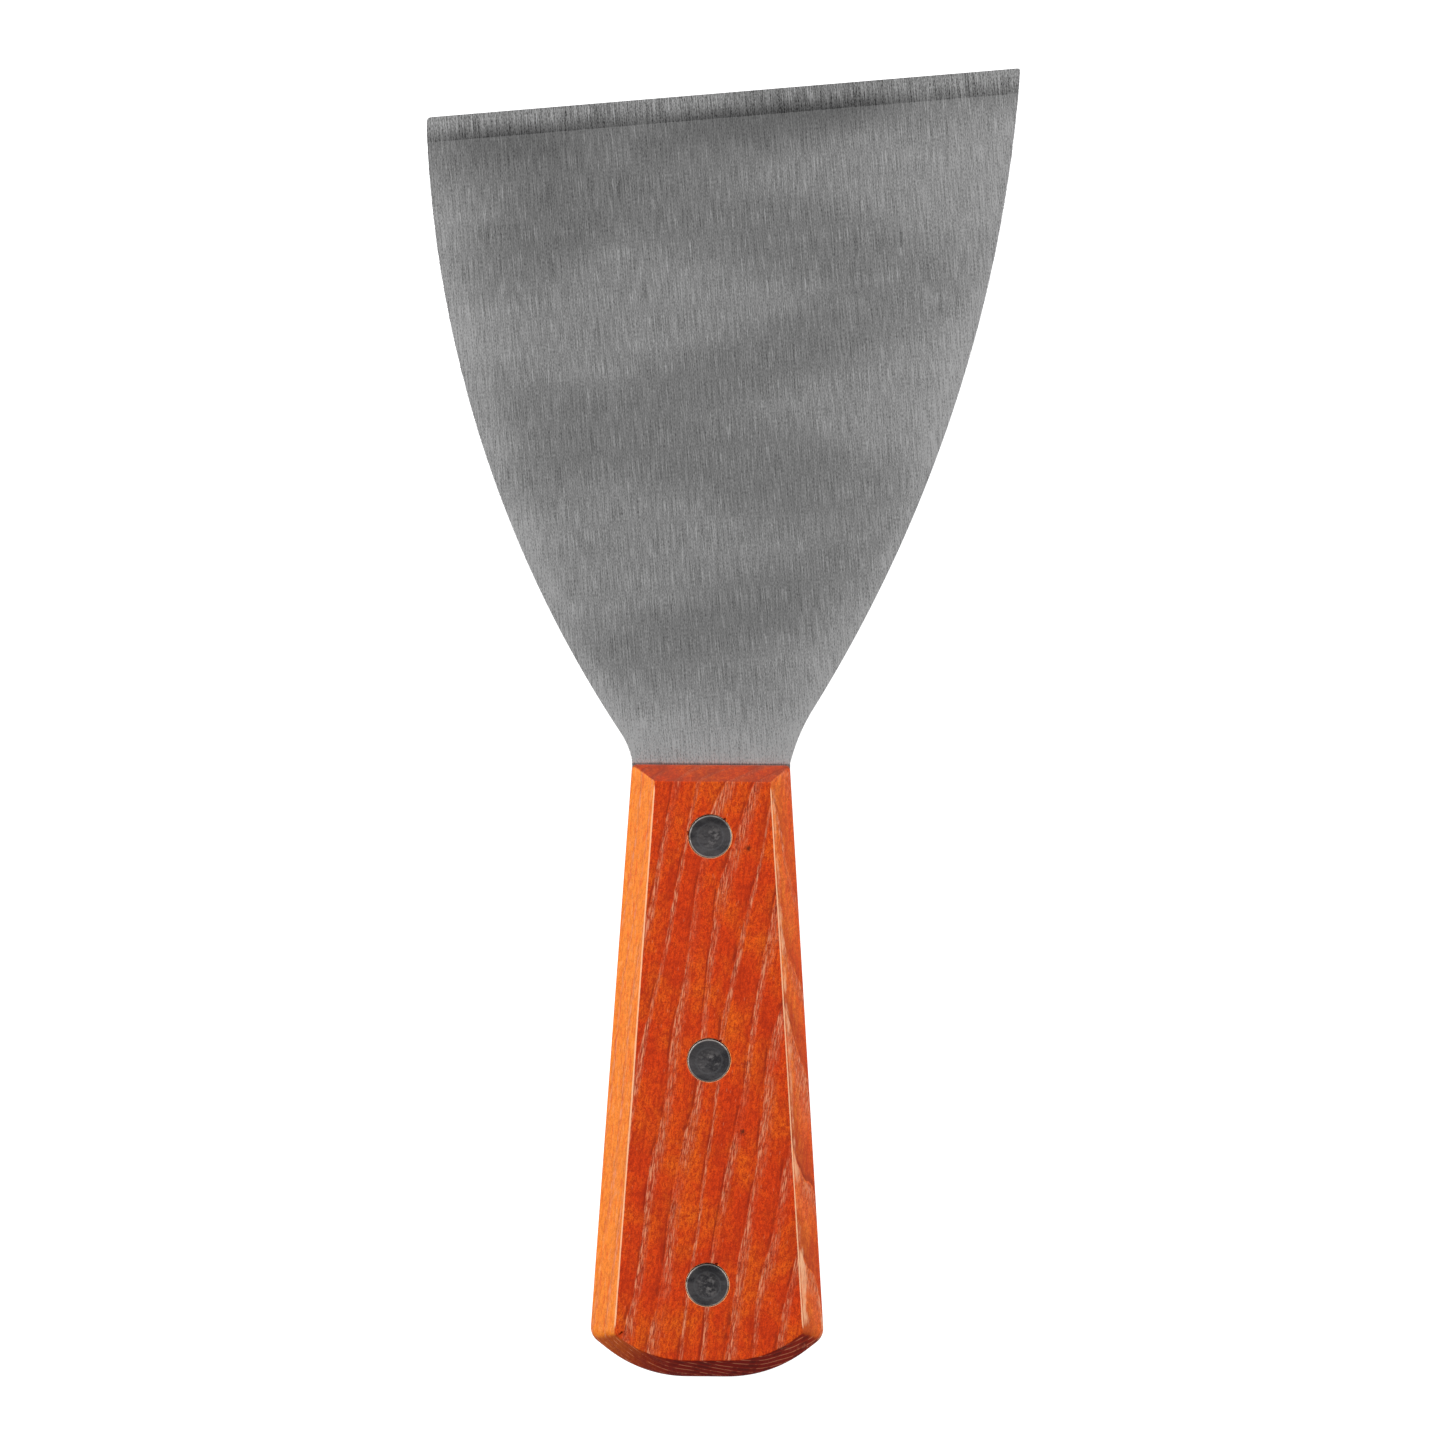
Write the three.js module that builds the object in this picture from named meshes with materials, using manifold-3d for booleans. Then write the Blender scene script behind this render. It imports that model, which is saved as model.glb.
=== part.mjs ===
// A flexible putty knife. One spring steel blade carries a full tang, which lies between two wooden
// scales. Three two-piece compression rivets, each a barrel and a pin, hold the stack together.
//
// Everything is drawn about the tang's middle plane: X runs across the blade, Y from the front of the
// handle towards the working edge, and Z through the thickness. The finished tool is then set down on
// the outer face of its back scale, with the origin under the middle of its outline.

import * as THREE from "three";
import { mergeVertices } from "three/addons/utils/BufferGeometryUtils.js";
import Module from "manifold-3d";

const wasm = await Module();
wasm.setup();

// Driving dimensions, in millimetres and radians.

const ROUND_SEGMENTS = 32;
const ARC_DIVISIONS = 14;

const HANDLE_LENGTH = 103.7;
const HANDLE_FRONT_HALF = 13.4; // half the handle's width where the blade comes out
const SIDE_TAPER = 0.0663; // how much each side spreads for each millimetre towards the butt
const BUTT_FLAT_HALF = 3.4;
const BUTT_RADIUS = 22;
const BUTT_ARC = THREE.MathUtils.degToRad(38);

const SCALE_THICKNESS = 8;
const CHAMFER_DEPTH = 3.2; // measured down from the scale's outer face
const NO_INSET = { left: 0, right: 0, front: 0, butt: 0 };
const CHAMFER_WIDTH = { left: 4.1, right: 3.5, front: 2.75, butt: 2.9 };

const TANG_THICKNESS = 1.5;

const EDGE_LENGTH = 101.6; // a four inch blade
const EDGE_SLANT = THREE.MathUtils.degToRad(5.15);
const EDGE_MIDDLE = { x: 1.3, y: 114.4 };
// A shoulder is where the hollow neck curve meets the flank.
const LEFT_SIDE = { shoulder: new THREE.Vector2(-15.3, 5.2), neckRadius: 11.5, flankRadius: 200 };
const RIGHT_SIDE = { shoulder: new THREE.Vector2(17.3, 9.6), neckRadius: 31.7, flankRadius: 238 };

const TAPER_END = 100; // distance back from the edge where the blade reaches its full thickness
const EDGE_BAND = 4.3; // width of the hollow-ground band along the edge, on the front face only
const BAND_HALF_THICKNESS = 0.42; // half the blade's thickness at the back of that band
const EDGE_THICKNESS = 0.35;
const BAND_STEPS = 6;
const BLANK_HALF_SPAN = 70; // half the length of the ground blank, longer than the edge

const RIVET_YS = { neck: -12.1, middle: -50.0, butt: -88.0 };
const HEAD_RADIUS = 3.6;
const HEAD_THICKNESS = 1.2;
const HEAD_SUNK = 0.1; // how far a rivet head lies below the wood
const HEAD_DISH = 0.25;
const BARREL_RADIUS = 2.5;
const BARREL_SHORT_OF_PIN_HEAD = 1.4;
const PIN_RADIUS = 1.6;
const PIN_CLEARANCE = 0.05;
const PIN_TIP_Z = 4.5;
const BARREL_BORE_TOP_Z = 5;
const HOLE_CLEARANCE = 0.1;

const TANG_TOP = TANG_THICKNESS / 2;
const SCALE_TOP = TANG_TOP + SCALE_THICKNESS;
const COUNTERBORE_Z = SCALE_TOP - HEAD_SUNK - HEAD_THICKNESS;

// Materials.

const steel = new THREE.MeshStandardMaterial({ color: 0x8d8d8b, roughness: 0.42, metalness: 1 });
const stainedWood = new THREE.MeshStandardMaterial({ color: 0xc4471c, roughness: 0.5, metalness: 0 });
const darkSteel = new THREE.MeshStandardMaterial({ color: 0x3c3d40, roughness: 0.5, metalness: 1 });

// Solids.

/** A closed geometry as a manifold-3d solid. */
function toSolid(geometry) {
  const bare = geometry.clone();
  bare.deleteAttribute("normal");
  bare.deleteAttribute("uv");
  const merged = mergeVertices(bare, 1e-4);
  const mesh = new wasm.Mesh({
    numProp: 3,
    vertProperties: merged.attributes.position.array,
    triVerts: new Uint32Array(merged.index.array),
  });
  return new wasm.Manifold(mesh);
}

/** A manifold-3d solid as a geometry. */
function toGeometry(solid) {
  const mesh = solid.getMesh();
  const geometry = new THREE.BufferGeometry();
  geometry.setAttribute("position", new THREE.BufferAttribute(mesh.vertProperties, 3));
  geometry.setIndex(new THREE.BufferAttribute(mesh.triVerts, 1));
  geometry.computeVertexNormals();
  return geometry;
}

/** A cylinder along Z between two heights, on the handle's axis. */
function roundBar(radius, y, bottom, top) {
  const bar = new THREE.CylinderGeometry(radius, radius, top - bottom, ROUND_SEGMENTS);
  bar.rotateX(Math.PI / 2);
  bar.translate(0, y, (bottom + top) / 2);
  return toSolid(bar);
}

/** A closed solid through rings of equally many points, each convex and anticlockwise from above. */
function loft(rings) {
  const count = rings[0].length;
  const positions = rings.flat().flatMap((p) => [p.x, p.y, p.z]);
  const index = [];
  for (let i = 1; i < count - 1; i++) {
    const top = (rings.length - 1) * count;
    index.push(0, i + 1, i);
    index.push(top, top + i, top + i + 1);
  }
  for (let ring = 0; ring < rings.length - 1; ring++) {
    for (let i = 0; i < count; i++) {
      const a = ring * count + i;
      const b = ring * count + ((i + 1) % count);
      index.push(a, b, b + count, a, b + count, a + count);
    }
  }
  const geometry = new THREE.BufferGeometry();
  geometry.setAttribute("position", new THREE.Float32BufferAttribute(positions, 3));
  geometry.setIndex(index);
  return geometry;
}

/** The points of a path, without the repeated ones where two of its curves meet. */
function pointsOf(path) {
  const points = path.getPoints(ARC_DIVISIONS);
  return points.filter((p, i) => p.distanceTo(points[(i + 1) % points.length]) > 1e-6);
}

// The handle's plan, which the tang shares.

/** Half the handle's width at y, less an inset square to the side. */
function sideX(y, inset) {
  return HANDLE_FRONT_HALF - SIDE_TAPER * y - inset * Math.hypot(1, SIDE_TAPER);
}

/** Where a side meets the straight end of the butt's curve, on the +X side. */
function buttCorner(sideInset, buttInset) {
  const sin = Math.sin(BUTT_ARC);
  const cos = Math.cos(BUTT_ARC);
  const radius = BUTT_RADIUS - buttInset;
  const x = BUTT_FLAT_HALF + radius * sin;
  const y = BUTT_RADIUS - HANDLE_LENGTH - radius * cos;
  const run = (sideX(y, sideInset) - x) / (cos + SIDE_TAPER * sin);
  return new THREE.Vector2(x + run * cos, y + run * sin);
}

/** Adds the handle's outline to a path that stands at the front left corner. */
function addHandleSides(path, inset) {
  const rightCorner = buttCorner(inset.right, inset.butt);
  const leftCorner = buttCorner(inset.left, inset.butt);
  const arcY = BUTT_RADIUS - HANDLE_LENGTH;
  const radius = BUTT_RADIUS - inset.butt;
  const down = -Math.PI / 2;
  path.lineTo(-leftCorner.x, leftCorner.y);
  path.absarc(-BUTT_FLAT_HALF, arcY, radius, down - BUTT_ARC, down, false);
  path.absarc(BUTT_FLAT_HALF, arcY, radius, down, down + BUTT_ARC, false);
  path.lineTo(rightCorner.x, rightCorner.y);
  path.lineTo(sideX(-inset.front, inset.right), -inset.front);
}

/** The handle's outline, moved in by an inset on each side, at one height. */
function handleRing(inset, z) {
  const path = new THREE.Path();
  path.moveTo(-sideX(-inset.front, inset.left), -inset.front);
  addHandleSides(path, inset);
  return pointsOf(path).map((p) => new THREE.Vector3(p.x, p.y, z));
}

// The blade.

/** Continues a path by an arc: its centre is on the left of the way, or on the right if hollow. */
function arcTo(path, end, radius, hollow) {
  const start = path.currentPoint.clone();
  const chord = end.clone().sub(start);
  const reach = Math.sqrt(radius ** 2 - chord.lengthSq() / 4);
  const across = new THREE.Vector2(-chord.y, chord.x).setLength(hollow ? -reach : reach);
  const centre = start.clone().add(end).multiplyScalar(0.5).add(across);
  const angle = (p) => Math.atan2(p.y - centre.y, p.x - centre.x);
  path.absarc(centre.x, centre.y, radius, angle(start), angle(end), hollow);
}

/** A corner of the working edge: side is 1 on the right and -1 on the left. */
function edgeCorner(side) {
  const reach = (side * EDGE_LENGTH) / 2;
  return new THREE.Vector2(
    EDGE_MIDDLE.x + reach * Math.cos(EDGE_SLANT),
    EDGE_MIDDLE.y + reach * Math.sin(EDGE_SLANT),
  );
}

/** The blade and its tang, cut out of flat steel. */
function bladeBlank() {
  const leftEdge = edgeCorner(-1);
  const path = new THREE.Path();
  path.moveTo(-HANDLE_FRONT_HALF, 0);
  addHandleSides(path, NO_INSET);
  arcTo(path, RIGHT_SIDE.shoulder, RIGHT_SIDE.neckRadius, true);
  arcTo(path, edgeCorner(1), RIGHT_SIDE.flankRadius, false);
  path.lineTo(leftEdge.x, leftEdge.y);
  arcTo(path, LEFT_SIDE.shoulder, LEFT_SIDE.flankRadius, false);
  arcTo(path, new THREE.Vector2(-HANDLE_FRONT_HALF, 0), LEFT_SIDE.neckRadius, true);
  const plate = new THREE.ExtrudeGeometry(new THREE.Shape(pointsOf(path)), {
    depth: TANG_THICKNESS,
    bevelEnabled: false,
  });
  plate.translate(0, 0, -TANG_TOP);
  return toSolid(plate);
}

/** The space the grinding leaves: thin at the edge, with a hollow band on the front face. */
function groundSpace() {
  const slope = (TANG_TOP - BAND_HALF_THICKNESS) / (TAPER_END - EDGE_BAND);
  const halfThickness = (back) => BAND_HALF_THICKNESS + slope * (back - EDGE_BAND);
  const edgeTop = EDGE_THICKNESS - halfThickness(0);
  const far = 3 * TAPER_END;
  const profile = new THREE.Shape();
  profile.moveTo(0, -halfThickness(0));
  profile.lineTo(far, -halfThickness(far));
  profile.lineTo(far, halfThickness(far));
  for (let i = BAND_STEPS; i >= 0; i--) {
    const share = i / BAND_STEPS;
    profile.lineTo(EDGE_BAND * share, edgeTop + (BAND_HALF_THICKNESS - edgeTop) * share ** 2);
  }
  const space = new THREE.ExtrudeGeometry(profile, { depth: 2 * BLANK_HALF_SPAN, bevelEnabled: false });
  space.translate(0, 0, -BLANK_HALF_SPAN);
  const backward = new THREE.Vector3(0, -1, 0);
  const up = new THREE.Vector3(0, 0, 1);
  const leftward = new THREE.Vector3(-1, 0, 0);
  space.applyMatrix4(new THREE.Matrix4().makeBasis(backward, up, leftward));
  space.rotateZ(EDGE_SLANT);
  space.translate(EDGE_MIDDLE.x, EDGE_MIDDLE.y, 0);
  return toSolid(space);
}

function blade() {
  let solid = bladeBlank().intersect(groundSpace());
  for (const y of Object.values(RIVET_YS)) {
    solid = solid.subtract(roundBar(BARREL_RADIUS + HOLE_CLEARANCE, y, -SCALE_TOP, SCALE_TOP));
  }
  return new THREE.Mesh(toGeometry(solid), steel);
}

// The handle scales. Both are one part: the back one is turned over.

function scale() {
  let solid = toSolid(
    loft([
      handleRing(NO_INSET, TANG_TOP),
      handleRing(NO_INSET, SCALE_TOP - CHAMFER_DEPTH),
      handleRing(CHAMFER_WIDTH, SCALE_TOP),
    ]),
  );
  for (const y of Object.values(RIVET_YS)) {
    solid = solid
      .subtract(roundBar(BARREL_RADIUS + HOLE_CLEARANCE, y, 0, 2 * SCALE_TOP))
      .subtract(roundBar(HEAD_RADIUS + HOLE_CLEARANCE, y, COUNTERBORE_Z, 2 * SCALE_TOP));
  }
  return new THREE.Mesh(toGeometry(solid), stainedWood);
}

// The rivets. A rivet's head is at +Z here; a pin is turned over to enter its barrel from behind.

/** A turned piece about Z from [radius, height] pairs that run up its outside and close on the axis. */
function turned(profile) {
  const points = profile.map(([radius, z]) => new THREE.Vector2(radius, z));
  const geometry = new THREE.LatheGeometry(points, ROUND_SEGMENTS);
  geometry.rotateX(Math.PI / 2);
  return new THREE.Mesh(toGeometry(toSolid(geometry)), darkSteel);
}

/** The dished head that both halves share, from its underside at the shank outwards. */
function headProfile(shankRadius) {
  const top = SCALE_TOP - HEAD_SUNK;
  return [
    [shankRadius, COUNTERBORE_Z],
    [HEAD_RADIUS, COUNTERBORE_Z],
    [HEAD_RADIUS, top - HEAD_DISH],
    [HEAD_RADIUS - HEAD_DISH, top],
    [HEAD_RADIUS / 2, top - HEAD_DISH],
    [0, top - HEAD_DISH],
  ];
}

function rivetBarrel() {
  const mouth = -COUNTERBORE_Z + BARREL_SHORT_OF_PIN_HEAD;
  const bore = PIN_RADIUS + PIN_CLEARANCE;
  return turned([
    [0, BARREL_BORE_TOP_Z],
    [bore, BARREL_BORE_TOP_Z],
    [bore, mouth],
    [BARREL_RADIUS, mouth],
    ...headProfile(BARREL_RADIUS),
  ]);
}

function rivetPin() {
  const tipChamfer = PIN_RADIUS / 4;
  return turned([
    [0, -PIN_TIP_Z],
    [PIN_RADIUS - tipChamfer, -PIN_TIP_Z],
    [PIN_RADIUS, -PIN_TIP_Z + tipChamfer],
    ...headProfile(PIN_RADIUS),
  ]);
}

// The assembly.

const tool = new THREE.Group();

/** Adds a named mesh, moved along the handle's axis and turned over for the back if asked. */
function place(mesh, name, y = 0, turnedOver = false) {
  mesh.name = name;
  mesh.position.y = y;
  mesh.rotation.y = turnedOver ? Math.PI : 0;
  tool.add(mesh);
}

place(blade(), "blade");
place(scale(), "front_scale");
place(scale(), "back_scale", 0, true);
for (const [where, y] of Object.entries(RIVET_YS)) {
  place(rivetBarrel(), `${where}_rivet_barrel`, y);
  place(rivetPin(), `${where}_rivet_pin`, y, true);
}

const outline = new THREE.Box3().setFromObject(tool);
const middle = outline.getCenter(new THREE.Vector3());
tool.position.set(-middle.x, -middle.y, SCALE_TOP);

const puttyKnife = new THREE.Group();
puttyKnife.add(tool);

export default puttyKnife;
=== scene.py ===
"""The looks of a flexible putty knife: a brushed steel blade, two stained ash scales and six rivet halves.

Lengths are in metres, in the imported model's frame: X across the blade, Y towards its working edge, Z up.
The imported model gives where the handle, the tang and the rivets are. Each of its nodes is replaced here by a
finer piece of the same shape and size.
"""

import functools
import math

import bmesh
import bpy
import numpy as np
from mathutils import Matrix, Vector, noise


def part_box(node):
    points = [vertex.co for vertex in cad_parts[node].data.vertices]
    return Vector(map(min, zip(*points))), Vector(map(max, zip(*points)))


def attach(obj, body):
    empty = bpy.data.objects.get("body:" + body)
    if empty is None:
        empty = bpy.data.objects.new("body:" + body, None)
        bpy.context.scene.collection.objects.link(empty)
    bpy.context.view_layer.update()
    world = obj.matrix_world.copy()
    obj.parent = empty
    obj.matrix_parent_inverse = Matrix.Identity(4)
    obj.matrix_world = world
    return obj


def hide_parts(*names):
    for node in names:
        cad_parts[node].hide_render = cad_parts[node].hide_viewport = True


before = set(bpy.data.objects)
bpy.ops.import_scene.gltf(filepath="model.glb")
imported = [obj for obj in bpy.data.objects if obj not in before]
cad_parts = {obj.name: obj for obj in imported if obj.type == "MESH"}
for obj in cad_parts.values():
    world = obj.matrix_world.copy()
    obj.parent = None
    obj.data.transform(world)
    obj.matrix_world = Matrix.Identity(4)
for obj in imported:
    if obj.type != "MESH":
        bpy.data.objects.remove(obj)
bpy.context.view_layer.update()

# ---------------------------------------------------------------- places, from the frame

SCALE_LOW, SCALE_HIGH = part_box("front_scale")
TANG_LOW_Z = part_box("back_scale")[1].z
TANG_HIGH_Z = SCALE_LOW.z
MIDDLE_Z = (TANG_LOW_Z + TANG_HIGH_Z) / 2
OUTER_HEIGHT = SCALE_HIGH.z - MIDDLE_Z  # from the tang's middle plane to a scale's outer face
AXIS_X = (SCALE_LOW.x + SCALE_HIGH.x) / 2
FRONT_Y = SCALE_HIGH.y
HANDLE_LENGTH = SCALE_HIGH.y - SCALE_LOW.y
RIVETS = ("neck", "middle", "butt")
RIVET_Y = {name: sum(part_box(f"{name}_rivet_barrel"), Vector()).y / 2 for name in RIVETS}
HEAD_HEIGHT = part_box("neck_rivet_barrel")[1].z - MIDDLE_Z
HEAD_RADIUS = (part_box("neck_rivet_barrel")[1].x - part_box("neck_rivet_barrel")[0].x) / 2

# ---------------------------------------------------------------- sizes of the handle

HANDLE_FRONT_HALF = 0.0134
SIDE_TAPER = 0.0663  # how much each side spreads for each metre towards the butt
BUTT_FLAT_HALF = 0.0034
BUTT_RADIUS = 0.022
BUTT_ARC = math.radians(38)
CHAMFER_DEPTH = 0.0032
CHAMFER_WIDTH = {"left": 0.0041, "right": 0.0035, "front": 0.00275, "butt": 0.0029}
SEAM_EASING = 0.0002  # rounding where a scale meets the tang
WALL_CORNER = {"front": 0.0009, "butt": 0.0016}  # rounding of the plan's corners at the wall
FACE_CORNER = {"front": 0.0003, "butt": 0.0004}  # and at the outer face
LOW_RIDGE, HIGH_RIDGE = 0.13, 0.05  # shares of the chamfer that the roundings of its two ridges take
LEFT_PALE_RIDGE_STARTS = 0.94  # how far across the chamfer the pale ridge starts on the left, worn and partly a painted highlight; on the right it spreads wider

# ---------------------------------------------------------------- sizes of the blade

EDGE_LENGTH = 0.1016
EDGE_SLANT = math.radians(5.15)
EDGE_MIDDLE = Vector((0.0013, 0.1144))  # from the middle of the handle's front
ALONG_EDGE = Vector((math.cos(EDGE_SLANT), math.sin(EDGE_SLANT)))
BACK_FROM_EDGE = Vector((math.sin(EDGE_SLANT), -math.cos(EDGE_SLANT)))
EDGE_CORNER = {-1: 0.0009, 1: 0.0006}  # rounding of its corners: -1 is the left side and 1 the right
SHOULDER = {-1: Vector((-0.0153, 0.0052)), 1: Vector((0.0173, 0.0096))}  # where neck and flank meet
NECK_RADIUS = {-1: 0.0115, 1: 0.0317}
FLANK_RADIUS = {-1: 0.2, 1: 0.238}
TAPER_END = 0.1  # distance back from the edge where the blade reaches its full thickness
EDGE_BAND = 0.0043  # width of the hollow-ground band along the edge, on the front face only
BAND_HALF_THICKNESS = 0.00042  # half the blade's thickness at the back of that band
EDGE_THICKNESS = 0.00035
TANG_HALF_THICKNESS = (TANG_HIGH_Z - TANG_LOW_Z) / 2
FLANK_ROUNDING = 0.00007

# ---------------------------------------------------------------- sizes of the rivets

HEAD_THICKNESS = 0.0012
BARREL_RADIUS = 0.0025
BARREL_SHORT_OF_PIN_HEAD = 0.0014
BORE_RADIUS = 0.00165
BORE_TOP = 0.005
PIN_RADIUS = 0.0016
PIN_TIP = 0.0045
HOLE_CLEARANCE = 0.0001
HOLE_FLARE = 0.0001
HOLE_OFF_CENTRE = ((-0.00006, 0.00004), (0, 0.00007), (0.00002, 0.00006))  # how far the drill wandered
CHIP_SIZE = 0.0004
CHIP_ANGLES = ((48, 172), (58,), (66,))  # where the drill tore each counterbore's mouth, in degrees
HEAD_UNDERSIDE = HEAD_HEIGHT - HEAD_THICKNESS
RIM_ROUNDING = 0.00012
DISH_RADIUS = HEAD_RADIUS - 0.0004
DISH_DEPTH = 0.00022

# ---------------------------------------------------------------- the steel's shading

STEEL = 0.583  # the steel's grey before anything lightens or darkens it
BAND_SHADE = 0.21  # painted shade: how much darker the hollow-ground band is at its root than the edge
ZIGZAG_STEP = 0.0405  # painted reflections: soft dark bands that zigzag down the blade, once in this length
DOWN_RIGHT = (0.23, 0.0927)  # their slope down to the right, and where one such stroke crosses the axis
DOWN_LEFT = (-0.47, 0.0645)  # and the stroke back to the left

# ---------------------------------------------------------------- the wood's grain and stain

RING_WIDTH = 0.0023
RING_LEAN = 0.5  # how much the rings fall for each metre to the right
RING_DIVE = 0.08  # and how much they fall for each metre towards the butt
END_RING_WIDTH = 0.00075  # the rings lie closer and flatter where the butt cuts them
END_LEAN = 0.2
FIBRE_LEAN = 0.12  # how much the fibres lean to the right for each metre towards the blade
STAIN_RED = (0.78, 0.062, 0.006, 1)
STAIN_ORANGE = (0.94, 0.175, 0.010, 1)
STAIN_DARK = (0.34, 0.020, 0.004, 1)
PORE_PALE = (0.82, 0.31, 0.16, 1)
PORE_DARK = (0.20, 0.016, 0.006, 1)
EARLY_WOOD = (0.66, 0.160, 0.072, 1)
END_DARK = (0.30, 0.005, 0.001, 1)
END_PALE = (0.88, 0.30, 0.15, 1)
FRONT_DARK = (0.227, 0.035, 0.016, 1)
# paler colours, partly scuffing, sanding and bare wood and partly painted light: the lit left chamfer, a sheen
# on the right one and highlights on the ridges
SCUFFED_AND_SHEEN = (0.98, 0.215, 0.070, 1)
SANDED_AND_LIT = (0.96, 0.28, 0.023, 1)
BARE_WOOD_AND_HIGHLIGHT = (0.95, 0.52, 0.29, 1)
KNOT = (0.05, 0.012, 0.006, 1)
PIN_KNOTS = ((0.0058, -0.0620), (0.0064, -0.0140))  # from the middle of the handle's front

# ---------------------------------------------------------------- the studio

VIEW_WIDTH = 0.2459  # what the picture spans across the knife
VIEW_OFFSET = Vector((0.0006, -0.0004))  # the picture's middle from the knife's middle
CAMERA_HEIGHT = 1.5
CAMERA_ROLL = math.radians(0.4)
FLOOR_REACH = 4.0
FLOOR_LEVEL = -0.00002  # a hair low, so that it and the back scale's face don't share a plane
SOFTBOX_SIZE = (0.9, 0.6)
WALLS = 1.15  # strengths of the light from the world's walls and ceiling
CEILING = 0.2
MIDDLE_OF_CEILING = 0.38
BEHIND_BUTT = 0.15  # the share of it that comes from behind the butt

# ---------------------------------------------------------------- outlines


def run(start, end, count):
    """Evenly spaced points from start up to, but not including, end."""
    return [start.lerp(end, i / count) for i in range(count)]


def arc(centre, radius, first, last, count):
    """Points along an arc, both ends included."""
    angles = np.linspace(first, last, count + 1)
    return [centre + radius * Vector((math.cos(a), math.sin(a))) for a in angles]


def bend(start, corner, end, count):
    """A curve that rounds a corner, both ends included."""
    shares = [i / count for i in range(count + 1)]
    return [start.lerp(corner, t).lerp(corner.lerp(end, t), t) for t in shares]


def side_x(y, inset):
    """Half the handle's width at y, less an inset square to the side."""
    return HANDLE_FRONT_HALF - SIDE_TAPER * y - inset * math.hypot(1, SIDE_TAPER)


def butt_corner(side, side_inset, butt_inset):
    """Where a side meets the straight end of the butt's curve."""
    sine, cosine = math.sin(BUTT_ARC), math.cos(BUTT_ARC)
    radius = BUTT_RADIUS - butt_inset
    x = BUTT_FLAT_HALF + radius * sine
    y = BUTT_RADIUS - HANDLE_LENGTH - radius * cosine
    reach = (side_x(y, side_inset) - x) / (cosine + SIDE_TAPER * sine)
    return Vector((side * (x + reach * cosine), y + reach * sine))


def handle_outline(inset, corner_radius):
    """The handle's plan, anticlockwise from its front left corner, as (point, stretch) pairs."""
    radius = BUTT_RADIUS - inset["butt"]
    arc_y = BUTT_RADIUS - HANDLE_LENGTH
    down = -math.pi / 2
    front_left = Vector((-side_x(-inset["front"], inset["left"]), -inset["front"]))
    front_right = Vector((side_x(-inset["front"], inset["right"]), -inset["front"]))
    butt_left = butt_corner(-1, inset["left"], inset["butt"])
    butt_right = butt_corner(1, inset["right"], inset["butt"])
    left_arc = arc(Vector((-BUTT_FLAT_HALF, arc_y)), radius, down - BUTT_ARC, down, 18)
    right_arc = arc(Vector((BUTT_FLAT_HALF, arc_y)), radius, down, down + BUTT_ARC, 18)

    def corner(before, at, after, end_name):
        start = at + (before - at).normalized() * corner_radius[end_name]
        end = at + (after - at).normalized() * corner_radius[end_name]
        return bend(start, at, end, 6)

    corners = [
        corner(front_right, front_left, butt_left, "front"),
        corner(front_left, butt_left, left_arc[0], "butt"),
        corner(right_arc[-1], butt_right, front_right, "butt"),
        corner(butt_right, front_right, front_left, "front"),
    ]
    stretches = [
        ("front", corners[0]),
        ("side", run(corners[0][-1], corners[1][0], 70)[1:]),
        ("butt", corners[1]),
        ("butt", run(corners[1][-1], left_arc[0], 4)[1:] + left_arc),
        ("butt", run(left_arc[-1], right_arc[0], 4)[1:] + right_arc),
        ("butt", run(right_arc[-1], corners[2][0], 4)[1:]),
        ("butt", corners[2]),
        ("side", run(corners[2][-1], corners[3][0], 70)[1:]),
        ("front", corners[3]),
        ("front", run(corners[3][-1], corners[0][0], 16)[1:]),
    ]
    return [(point, name) for name, points in stretches for point in points]


def arc_between(start, end, radius, hollow, count):
    """An arc from start to end: its centre is on the left of the way, or on the right if hollow."""
    chord = end - start
    reach = math.sqrt(radius**2 - chord.length_squared / 4)
    across = Vector((-chord.y, chord.x)).normalized() * (-reach if hollow else reach)
    centre = (start + end) / 2 + across
    first = math.atan2(start.y - centre.y, start.x - centre.x)
    last = math.atan2(end.y - centre.y, end.x - centre.x)
    turn = (last - first + math.pi) % (2 * math.pi) - math.pi
    return arc(centre, radius, first, first + turn, count)


def edge_corner(side):
    """A corner of the working edge, before it is rounded: side is 1 on the right and -1 on the left."""
    return EDGE_MIDDLE + ALONG_EDGE * side * EDGE_LENGTH / 2


def blade_outline():
    """The tang and blade in plan, anticlockwise from the handle's front left corner."""
    none = dict.fromkeys(CHAMFER_WIDTH, 0)
    tang = [point for point, stretch in handle_outline(none, WALL_CORNER) if stretch != "front"]
    front = {side: Vector((side * HANDLE_FRONT_HALF, 0)) for side in (-1, 1)}
    corner = {side: edge_corner(side) for side in (-1, 1)}
    right = arc_between(front[1], SHOULDER[1], NECK_RADIUS[1], True, 24)
    right += arc_between(SHOULDER[1], corner[1], FLANK_RADIUS[1], False, 90)[1:]
    left = arc_between(corner[-1], SHOULDER[-1], FLANK_RADIUS[-1], False, 90)
    left += arc_between(SHOULDER[-1], front[-1], NECK_RADIUS[-1], True, 24)[1:]
    right_turn = rounded_end(right, corner[-1], EDGE_CORNER[1])
    left_turn = rounded_end(left[::-1], corner[1], EDGE_CORNER[-1])[::-1]
    return tang + right[:-1] + right_turn + left_turn + left[1:]


def rounded_end(chain, beyond, radius):
    """The curve that rounds a chain's last point, towards the point beyond it."""
    at = chain[-1]
    start = at + (chain[-2] - at).normalized() * radius
    end = at + (beyond - at).normalized() * radius
    return bend(start, at, end, 8)


# ---------------------------------------------------------------- meshes


def new_piece(name, mesh, material, slot, *nodes):
    """Puts a finished mesh in the scene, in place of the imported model's nodes."""
    piece = bpy.data.objects.new(name, mesh)
    bpy.context.scene.collection.objects.link(piece)
    mesh.materials.clear()
    mesh.materials.append(material)
    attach(piece, "root")
    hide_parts(*nodes)
    return piece


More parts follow.
